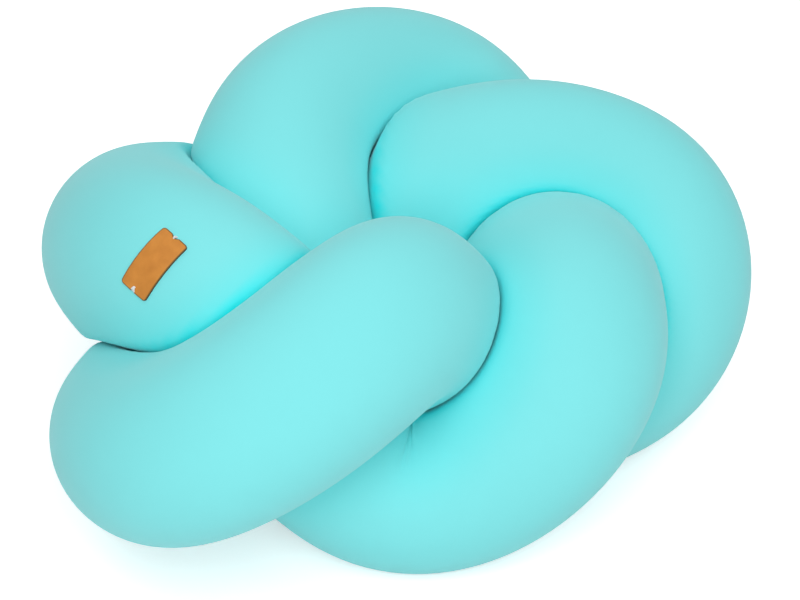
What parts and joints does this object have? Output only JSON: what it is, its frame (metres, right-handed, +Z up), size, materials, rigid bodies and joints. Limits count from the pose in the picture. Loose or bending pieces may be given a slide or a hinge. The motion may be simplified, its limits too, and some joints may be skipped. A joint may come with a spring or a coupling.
{
  "type": "knotted tube cushion",
  "caption": "Firm decorative cushion made of a thick stuffed jersey tube laid into a closed knot of interlacing lobes, with a small leather label.",
  "frame": {"origin": "on the surface that the cushion rests on, under the middle of its bounding box", "axes": "+Z up out of the lying cushion, -Y towards the front, where the long near lobe lies, +X to the right seen from the front"},
  "size_m": [0.5274, 0.5636, 0.2628],
  "materials": {
    "jersey": "fine plain aqua jersey, matt with a soft pale sheen where it curves away",
    "leather": "smooth tan leather with darker cut edges, satin",
    "thread": "white twisted sewing thread"
  },
  "bodies": {
    "root": {"knotted_tube": "jersey", "leather_label": "leather"}
  },
  "joints": []
}
